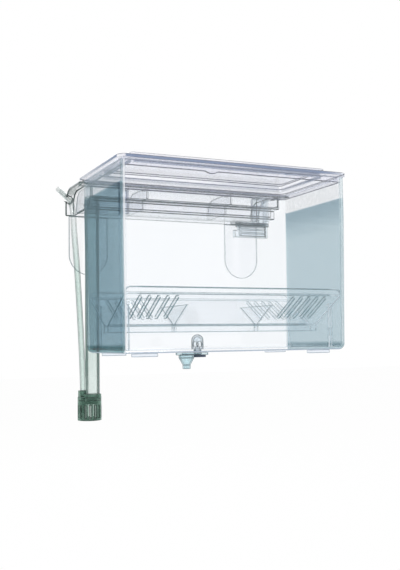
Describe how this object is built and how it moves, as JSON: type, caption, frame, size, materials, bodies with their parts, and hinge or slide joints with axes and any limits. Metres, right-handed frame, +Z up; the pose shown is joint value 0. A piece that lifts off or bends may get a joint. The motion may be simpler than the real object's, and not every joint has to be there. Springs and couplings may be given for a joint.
{
  "type": "hang-on fish breeding box",
  "caption": "Clear fish breeding box that hangs on a tank wall, with lid, V-shaped fry tray, air-lift inlet, guarded outlet and drain valve.",
  "frame": {"origin": "middle of the seat under the hook's deck, which rests on top of the tank wall", "axes": "+X to the right along the box as seen from its front, +Y from the box towards the inside of the tank, +Z up"},
  "size_m": [0.198, 0.1635, 0.2031],
  "materials": {
    "clear_plastic": "clear, smooth and glossy",
    "foot_plastic": "clear with a bluish cast",
    "hook_plastic": "clear with a lavender-grey cast",
    "lid_plastic": "clear with a lavender cast, satin",
    "tray_plastic": "clear, smooth and glossy",
    "tube_plastic": "clear with a green-grey cast",
    "strainer_plastic": "dark green, satin",
    "hose_vinyl": "soft clear vinyl",
    "gasket_rubber": "soft matt rubber",
    "valve_plastic": "translucent blue-grey",
    "lever_plastic": "dark blue-grey"
  },
  "bodies": {
    "box": {"box_shell": "clear_plastic", "foot_front_left": "foot_plastic", "foot_front_right": "foot_plastic", "foot_back_left": "foot_plastic", "foot_back_right": "foot_plastic", "rim_hook": "hook_plastic", "left_divider": "hook_plastic", "right_divider": "hook_plastic", "left_tongue": "hook_plastic", "right_tongue": "hook_plastic", "inlet_spout": "clear_plastic", "outlet_duct": "clear_plastic", "lift_tube": "tube_plastic", "strainer_cap": "strainer_plastic", "air_nozzle": "strainer_plastic", "air_hose": "hose_vinyl", "drain_outlet": "clear_plastic", "drain_gasket": "gasket_rubber"},
    "lid": {"lid": "lid_plastic"},
    "tray": {"tray_front_plate": "tray_plastic", "tray_back_plate": "tray_plastic", "tray_web_left": "tray_plastic", "tray_web_right": "tray_plastic"},
    "guard": {"outlet_guard": "clear_plastic"},
    "strainer": {"strainer_cage": "strainer_plastic"},
    "valve": {"drain_valve": "valve_plastic", "drain_lever": "lever_plastic"}
  },
  "joints": [
    {"name": "lid_lift", "type": "slide", "parent": "box", "child": "lid", "axis": [0, 0, 1], "range_m": [0, 0.04]},
    {"name": "tray_lift", "type": "slide", "parent": "box", "child": "tray", "axis": [0, 0, 1], "range_m": [0, 0.045]},
    {"name": "guard_slide", "type": "slide", "parent": "box", "child": "guard", "axis": [-1, 0, 0], "range_m": [0, 0.02]},
    {"name": "strainer_pull", "type": "slide", "parent": "box", "child": "strainer", "axis": [0, 0, -1], "range_m": [0, 0.016]},
    {"name": "valve_turn", "type": "hinge", "parent": "box", "child": "valve", "pos_m": [-0.0165, -0.051, -0.126], "axis": [0, 0, 1], "range_deg": [0, 90]}
  ]
}
